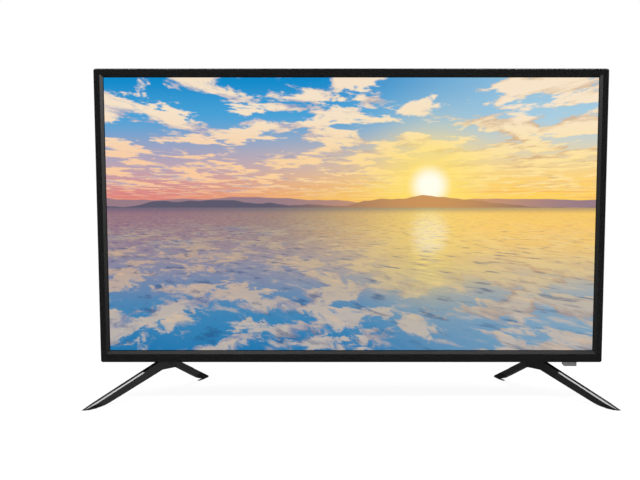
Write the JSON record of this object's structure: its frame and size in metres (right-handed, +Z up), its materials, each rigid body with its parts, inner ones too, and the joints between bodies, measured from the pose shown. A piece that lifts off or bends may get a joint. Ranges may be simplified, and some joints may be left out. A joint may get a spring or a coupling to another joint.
{
  "type": "flat screen tv",
  "caption": "Slim flat-panel television with a bevelled black frame, a raised housing behind for boards and sockets, and two splayed inverted-V legs.",
  "frame": {"origin": "on the surface that the feet stand on, under the middle of the stance", "axes": "+X to the viewer's right, +Y to the back, +Z up; the picture faces -Y"},
  "size_m": [0.756, 0.194, 0.4745],
  "materials": {
    "bezel_black": "smooth black moulding",
    "cover_black": "fine-grained black moulding",
    "leg_black": "smooth black moulding with a polished facet",
    "screen": "anti-glare panel surface",
    "smoked_window": "grey translucent plastic",
    "foam": "closed-cell foam",
    "amber_film": "amber film",
    "circuit_board": "green solder mask",
    "inner_plastic": "plain black moulding",
    "clear_film": "clear plastic",
    "milky_plastic": "milky plastic",
    "white_sheet": "white reflector foam",
    "white_board": "white mask on aluminium",
    "pan_steel": "galvanised sheet",
    "post_steel": "plated steel",
    "sink_aluminium": "extruded aluminium",
    "socket_steel": "tin-plated sheet",
    "socket_black": "black connector plastic",
    "winding": "tape-wrapped winding",
    "magnet": "ferrite and steel",
    "cone_paper": "black pressed paper",
    "black_rubber": "black rubber",
    "lead_sleeve": "black sleeve",
    "screw_steel": "black plated steel"
  },
  "bodies": {
    "television": {"front_bezel": "bezel_black", "bezel_gasket": "foam", "lcd_cell": "screen", "cof_films": "amber_film", "source_boards": "circuit_board", "panel_frame": "inner_plastic", "brightness_film": "clear_film", "prism_film": "clear_film", "diffuser_film": "clear_film", "diffuser_plate": "milky_plastic", "reflector_tray": "white_sheet", "led_bars": "white_board", "led_lenses": "clear_film", "diffuser_posts": "milky_plastic", "backlight_chassis": "pan_steel", "vesa_posts": "post_steel", "main_board": "circuit_board", "main_heatsink": "sink_aluminium", "hdmi_sockets": "socket_steel", "usb_socket": "socket_steel", "optical_socket": "socket_black", "headphone_jack": "socket_black", "av_jacks": "socket_black", "tuner": "socket_steel", "power_board": "circuit_board", "ac_inlet": "socket_black", "power_transformer": "winding", "bulk_capacitor": "inner_plastic", "line_choke": "winding", "power_heatsinks": "sink_aluminium", "ir_window": "smoked_window", "key_board": "circuit_board", "ir_receiver": "socket_black", "status_led": "clear_film", "tact_switch": "socket_black", "speaker_box_left": "inner_plastic", "speaker_box_right": "inner_plastic", "speaker_frame_left": "pan_steel", "speaker_frame_right": "pan_steel", "speaker_magnet_left": "magnet", "speaker_magnet_right": "magnet", "speaker_surround_left": "black_rubber", "speaker_surround_right": "black_rubber", "rear_cover": "cover_black", "panel_ribbon": "lead_sleeve", "power_harness": "lead_sleeve", "backlight_lead": "lead_sleeve", "key_lead": "lead_sleeve", "speaker_harness": "lead_sleeve", "leg_left": "leg_black", "leg_right": "leg_black", "leg_brackets": "pan_steel", "leg_screws": "screw_steel", "foot_pads": "black_rubber", "cover_screws": "screw_steel", "board_screws": "screw_steel"},
    "power_key": {"switch_plunger": "inner_plastic", "power_key": "cover_black"},
    "cone_left": {"speaker_cone_left": "cone_paper"},
    "cone_right": {"speaker_cone_right": "cone_paper"}
  },
  "joints": [
    {"name": "key_press", "type": "slide", "parent": "television", "child": "power_key", "axis": [0, 0, 1], "range_m": [0, 0.0006], "stiffness_N_per_m": 1500},
    {"name": "cone_left_stroke", "type": "slide", "parent": "television", "child": "cone_left", "axis": [0, 0, 1], "range_m": [-0.0008, 0.0008], "stiffness_N_per_m": 1200, "deforming": ["speaker_surround_left"]},
    {"name": "cone_right_stroke", "type": "slide", "parent": "television", "child": "cone_right", "axis": [0, 0, 1], "range_m": [-0.0008, 0.0008], "stiffness_N_per_m": 1200, "deforming": ["speaker_surround_right"]}
  ]
}
